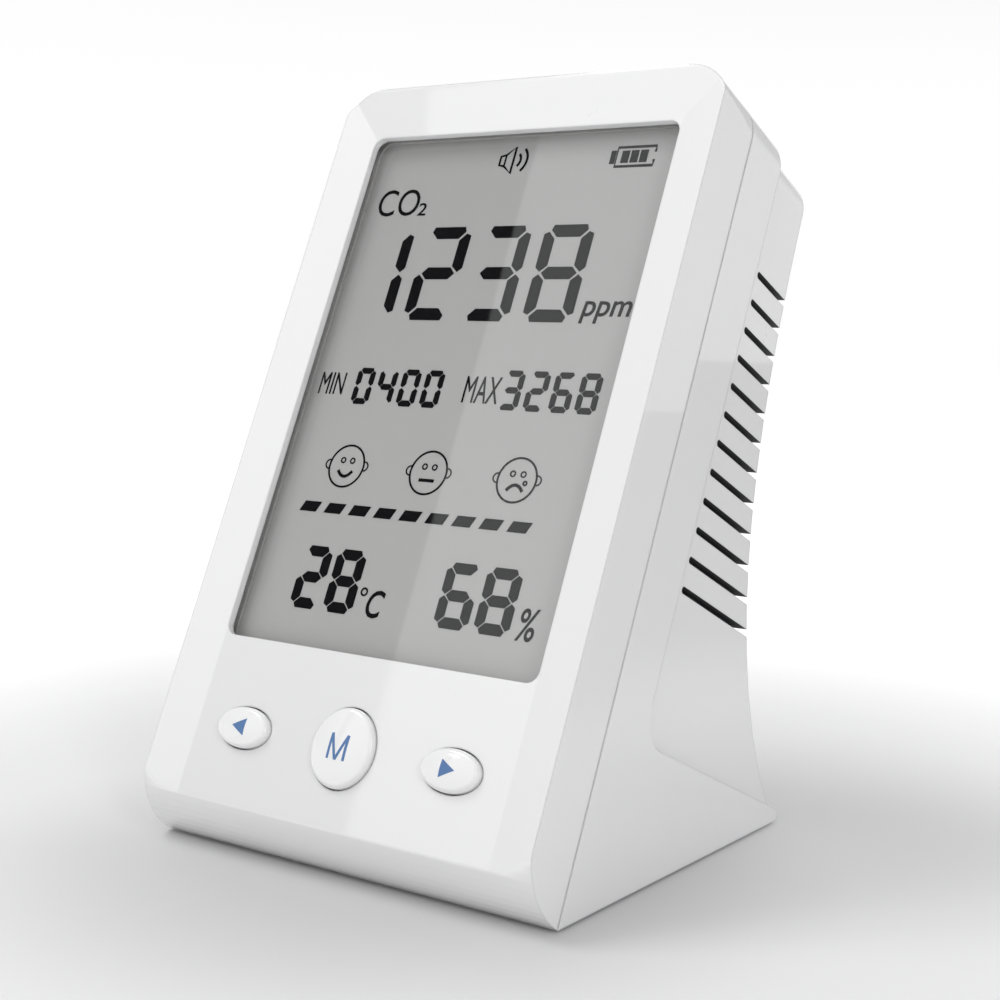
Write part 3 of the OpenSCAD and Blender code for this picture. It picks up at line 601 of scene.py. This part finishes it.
SEGMENTS = {"0": "abcdef", "1": "bc", "2": "abged", "3": "abgcd", "4": "fgbc", "6": "afgecd", "8": "abcdefg"}


def shown(outline):
    """Moves an outline in the window to its place on the display behind."""
    outline = np.array(outline, float) * SHOW_SCALE
    outline[:, 0] += SHOW_SHIFT
    return outline


def digit(heap, figure, u, v, width, height, thick, gap):
    """Seven bars that meet at slanting gaps, with the outer corners cut; the middle one is pointed."""
    w, h, t, g = width, height, thick, gap
    m, top = h / 2, h
    tip, cut = t * 0.42, t * 0.74
    upright = np.array([[0, top - cut], [0, m + t * 0.3 + g], [tip, m + g * 0.7], [t, m + t / 2 + g * 0.7],
                        [t, top - t - g], [tip, top - tip - g]])
    flat = np.array([[tip + g, top - tip], [t + g, top - t], [w - t - g, top - t], [w - tip - g, top - tip],
                     [w - cut, top], [cut, top]])
    middle = np.array([[t / 2 + g * 0.8, m], [t + g * 0.7, m - t / 2], [w - t - g * 0.7, m - t / 2],
                       [w - t / 2 - g * 0.8, m], [w - t - g * 0.7, m + t / 2], [t + g * 0.7, m + t / 2]])
    over = lambda shape: np.stack([w - shape[:, 0], shape[:, 1]], 1)[::-1]
    down = lambda shape: np.stack([shape[:, 0], h - shape[:, 1]], 1)[::-1]
    shapes = {"a": flat, "d": down(flat), "g": middle, "f": upright, "e": down(upright),
              "b": over(upright), "c": down(over(upright))}
    for bar in SEGMENTS[figure]:
        heap.prism(shown(shapes[bar] + [u, v]), SHOW_FRONT, SHOW_BACK)


def number(heap, figures, left, right, low, high, thick, gap, fill=0.66):
    """A row of figures between left and right, where fill is a figure's share of the pitch."""
    pitch = (right - left) / (len(figures) - 1 + fill)
    for place, figure in enumerate(figures):
        digit(heap, figure, left + place * pitch, low, pitch * fill, high - low, thick, gap)


def label(heap, words, left, right, low, high, slant=0.0, weight=0.0):
    """Lettering fitted to a box in the window, as a thin solid."""
    curve = bpy.data.curves.new("words", "FONT")
    curve.body = words
    curve.shear = slant
    curve.offset = weight
    curve.extrude = 0.5
    curve.resolution_u = 4
    made = bpy.data.objects.new("words", curve)
    bpy.context.scene.collection.objects.link(made)
    bpy.context.view_layer.update()
    mesh = bpy.data.meshes.new_from_object(made.evaluated_get(bpy.context.evaluated_depsgraph_get()))
    flat = np.empty(len(mesh.vertices) * 3)
    mesh.vertices.foreach_get("co", flat)
    flat = flat.reshape(-1, 3)
    lowest, highest = flat.min(0), flat.max(0)
    place = (flat[:, :2] - lowest[:2]) / (highest - lowest)[:2] * [right - left, high - low] + [left, low]
    place = shown(place)
    depth = np.where(flat[:, 2] > 0, SHOW_FRONT, SHOW_BACK)
    heap.add(slab(place[:, 0], place[:, 1], depth), [list(p.vertices) for p in mesh.polygons])
    bpy.data.objects.remove(made)
    bpy.data.curves.remove(curve)
    bpy.data.meshes.remove(mesh)


def circle(u, v, radius, start=0.0, end=2 * np.pi, points=40):
    """Points on a circle or an arc from start to end, in radians."""
    turn = np.linspace(start, end, points, endpoint=abs(end - start) < 2 * np.pi - 0.01)
    return np.stack([u + radius * np.cos(turn), v + radius * np.sin(turn)], 1)


figures = Heap()
number(figures, "1238", -25.45, 18.65, 90.6, 107.1, 2.1, 0.32, 0.785)
number(figures, "0400", -19.5, -1.9, 75.7, 82.0, 1.02, 0.08, 0.78)
number(figures, "3268", 9.5, 27.0, 76.0, 82.5, 1.02, 0.08, 0.8)
number(figures, "28", -19.7, -7.0, 41.4, 51.6, 1.72, 0.14, 0.86)
number(figures, "68", 8.6, 22.2, 41.5, 51.6, 1.72, 0.14, 0.86)
figures.build("display_figures", "monitor", ink)

labels = Heap()
label(labels, "CO", -25.9, -17.3, 109.4, 114.3, 0.0, -0.002)
label(labels, "2", -17.1, -15.4, 109.4, 111.7, 0.0, 0.006)
label(labels, "ppm", 20.0, 28.7, 90.5, 94.2, 0.12, 0.01)
label(labels, "MIN", -26.9, -21.8, 77.2, 81.0)
label(labels, "MAX", 2.5, 9.2, 76.9, 81.3)
label(labels, "C", -4.5, -1.4, 41.4, 45.8, 0.15, 0.012)
label(labels, "%", 23.4, 26.6, 41.3, 46.2, 0.15, 0.008)
labels.build("display_labels", "monitor", ink)

signs = Heap()
signs.stroke(shown(circle(-5.6, 45.3, 0.55)), 0.3, SHOW_FRONT, SHOW_BACK, True)
FACE_W, FACE_H = 3.45, 3.5
FACE_V = 65.1
MOUTH_W, MOUTH_H, MOUTH_DROP = 1.45, 0.95, 1.25
for face_u, mood in ((-16.3, 1.0), (0.1, 0.0), (16.6, -1.0)):
    head = circle(0, 0, 1.0) * [FACE_W, FACE_H] + [face_u, FACE_V]
    signs.stroke(shown(head), 0.32, SHOW_FRONT, SHOW_BACK, True)
    for side in (-1.0, 1.0):
        eye = circle(face_u + side * 0.95, FACE_V + 0.95, 0.42, points=18)
        signs.stroke(shown(eye), 0.24, SHOW_FRONT, SHOW_BACK, True)
        ear = circle(0, 0, 0.75, -2.0, 2.0, 16) * [side, 1.0] + [face_u + side * (FACE_W + 0.1), FACE_V + 0.15]
        signs.stroke(shown(ear), 0.24, SHOW_FRONT, SHOW_BACK)
    across = np.linspace(-1, 1, 15)
    bow = mood * MOUTH_H * (across ** 2 - 0.5)
    mouth = np.stack([face_u + MOUTH_W * across, FACE_V - MOUTH_DROP + bow], 1)
    signs.stroke(shown(mouth), 0.52, SHOW_FRONT, SHOW_BACK)
# the third face's tear, then a row of slanting dashes
signs.stroke(shown(circle(18.2, 64.7, 0.3, points=14)), 0.3, SHOW_FRONT, SHOW_BACK, True)
DASHES, DASH_PITCH = 9, 5.06
for dash in range(DASHES):
    left = -23.3 + dash * DASH_PITCH
    bar = np.array([[left, 57.1], [left + 3.4, 57.1], [left + 4.2, 58.8], [left + 0.8, 58.8]])
    signs.prism(shown(bar), SHOW_FRONT, SHOW_BACK)
# loudspeaker: a box, a cone and two arcs of sound
signs.stroke(shown([[-3.1, 118.1], [-3.1, 119.7], [-2.1, 119.9], [-0.5, 121.3], [-0.5, 116.5], [-2.1, 117.9]]),
             0.4, SHOW_FRONT, SHOW_BACK, True)
signs.stroke(shown([[-2.1, 118.0], [-2.1, 119.8]]), 0.3, SHOW_FRONT, SHOW_BACK)
for reach in (1.5, 2.75):
    signs.stroke(shown(circle(-0.6, 118.9, reach, -0.8, 0.8, 14)), 0.42, SHOW_FRONT, SHOW_BACK)
# battery: an outline that is broken at its right end, a tip and three bars
signs.stroke(shown([[25.8, 117.9], [25.8, 116.9], [19.0, 116.9], [19.0, 120.2], [25.8, 120.2], [25.8, 119.2]]),
             0.45, SHOW_FRONT, SHOW_BACK)
signs.prism(shown([[17.9, 117.4], [18.8, 117.4], [18.8, 119.7], [17.9, 119.7]]), SHOW_FRONT, SHOW_BACK)
for left in (19.9, 21.55, 23.2):
    right = left + 1.35
    signs.prism(shown([[left, 117.5], [right, 117.5], [right, 119.6], [left, 119.6]]), SHOW_FRONT, SHOW_BACK)
signs.build("display_signs", "monitor", ink)

# ---------------------------------------------------------------- studio
FLOOR_REACH = 4.0
HALF_VIEW = 0.3
PANEL_RIGHT_U, PANEL_LEFT_U, FAR_LEFT_U = 3.4, -33.0, -45.0


def studio_floor():
    """Plain floor with painted light and shade: it emits light that grows away from the object, fading it into the
    backdrop;
    a painted shadow darkens it just in front of it, and it is painted greyer to the right of what the camera sees,
    where the object's side mirrors it."""
    f = Finish("studio_floor", (0.86, 0.86, 0.865), 0.55, Emission_Strength=1.0)
    here = f.node("ShaderNodeTexCoord", output=3)
    away = f.node("ShaderNodeVectorMath", {"operation": "LENGTH"}, {0: here}, output=1)
    # painted light: the floor emits light that grows away from the object, so that it fades into the white
    # backdrop
    painted_glow = f.ramp(away, 0.06, 0.24, 0.0, 0.42)
    # painted shadow: the floor's colour darkens to grey just in front of the object, in place of its soft shadow
    before = f.node("ShaderNodeVectorMath", {"operation": "DISTANCE"}, {0: here, 1: (0.0, -0.024, 0.0)}, output=1)
    near = f.ramp(before, 0.022, 0.075)
    # painted shade: the floor is painted grey beyond the right edge of the view, so that the object's side mirrors
    # it darker
    turn = math.radians(CAMERA_TURN)
    view_edge = (math.cos(turn) + HALF_VIEW * math.sin(turn), math.sin(turn) - HALF_VIEW * math.cos(turn), 0.0)
    across = f.node("ShaderNodeVectorMath", {"operation": "DOT_PRODUCT"}, {0: here, 1: view_edge}, output=1)
    painted_grey_share = f.ramp(across, 0.1, 0.2)
    floor_with_painted_shadow = f.mix(near, (0.62, 0.62, 0.625), f.color)
    f.set("Base Color", f.mix(painted_grey_share, floor_with_painted_shadow, (0.55, 0.55, 0.552)))
    painted_glow = painted_glow * (1.0 - painted_grey_share)
    f.set("Emission Color", f.mix(painted_glow, (0.0, 0.0, 0.0), (1.0, 1.0, 1.0)))
    edge = np.array([[-1, -1], [1, -1], [1, 1], [-1, 1]]) * FLOOR_REACH
    mesh = bpy.data.meshes.new("floor")
    mesh.from_pydata([(x, y, 0.0) for x, y in edge.tolist()], [], [(0, 1, 2, 3)])
    mesh.materials.append(f.material)
    floor = bpy.data.objects.new("floor", mesh)
    bpy.context.scene.collection.objects.link(floor)


def softbox(name, place, target, size, power):
    """Square area light at a place, turned to a target, both in metres."""
    light = bpy.data.lights.new(name, "AREA")
    light.shape = "RECTANGLE"
    light.size, light.size_y = size
    light.energy = power
    made = bpy.data.objects.new(name, light)
    made.location = place
    made.rotation_euler = (Vector(target) - Vector(place)).to_track_quat("-Z", "Y").to_euler()
    bpy.context.scene.collection.objects.link(made)


studio_floor()
softbox("key_light", (-0.85, -0.45, 1.65), (0, 0, 0.06), (0.7, 0.7), 9.0)
softbox("edge_light", (1.15, -0.62, 0.75), (0, 0, 0.06), (0.3, 0.7), 3.5)


class Sky(Finish):
    """The studio's white surroundings: greyer high up and far to the left, with one tall dark panel high up in
    front on the left, which the left half of the lens mirrors."""

    def __init__(self, strength):
        world = bpy.data.worlds.new("studio")
        world.use_nodes = True
        self.tree = world.node_tree
        self.shader = self.tree.nodes["Background"]
        self.set("Strength", strength)
        bpy.context.scene.world = world

    def beyond(self, here, side, low, high):
        """Share from 0 to 1 of how far a direction lies to one side of a plane through the object."""
        side = np.asarray(side) / np.linalg.norm(side)
        along = self.node("ShaderNodeVectorMath", {"operation": "DOT_PRODUCT"}, {
            0: here, 1: side.tolist()}, output=1)
        return self.ramp(along, low, high)


def mirrored(u):
    """Direction in which the lens mirrors the camera at a place across it, seen level with the slab."""
    seat = np.array(CAMERA_PLACE) + [0.0, MIDDLE_Y, 0.0]
    return np.array([u - seat[0], 0.0, 0.0]) + INTO * (seat @ INTO - WINDOW_STEP)


sky = Sky(1.0)
here = sky.node("ShaderNodeTexCoord", output=0)
right_edge = sky.beyond(here, np.cross(mirrored(PANEL_RIGHT_U), UP), -0.0015, 0.0015)
left_edge = sky.beyond(here, np.cross(UP, mirrored(PANEL_LEFT_U)), -0.0015, 0.0015)
height = sky.node("ShaderNodeSeparateXYZ", inputs={0: here}, output=2)
above = sky.ramp(height, 0.2, 0.26)
panel = right_edge * left_edge * above
upper = sky.ramp(height, 0.12, 0.5)
facing = sky.beyond(here, (-0.75, -0.6, 0.25), -0.5, 0.9)
veiled = upper * (1.0 - facing) * 0.6
far_left = sky.beyond(here, np.cross(mirrored(FAR_LEFT_U), UP), 0.0, 0.1) * above * 0.45
veiled = veiled.most(far_left)
sky.set("Color", sky.mix(veiled.most(panel), (1.0, 1.0, 1.0), (0.05, 0.05, 0.05)))
bpy.context.scene.view_settings.view_transform = "Standard"
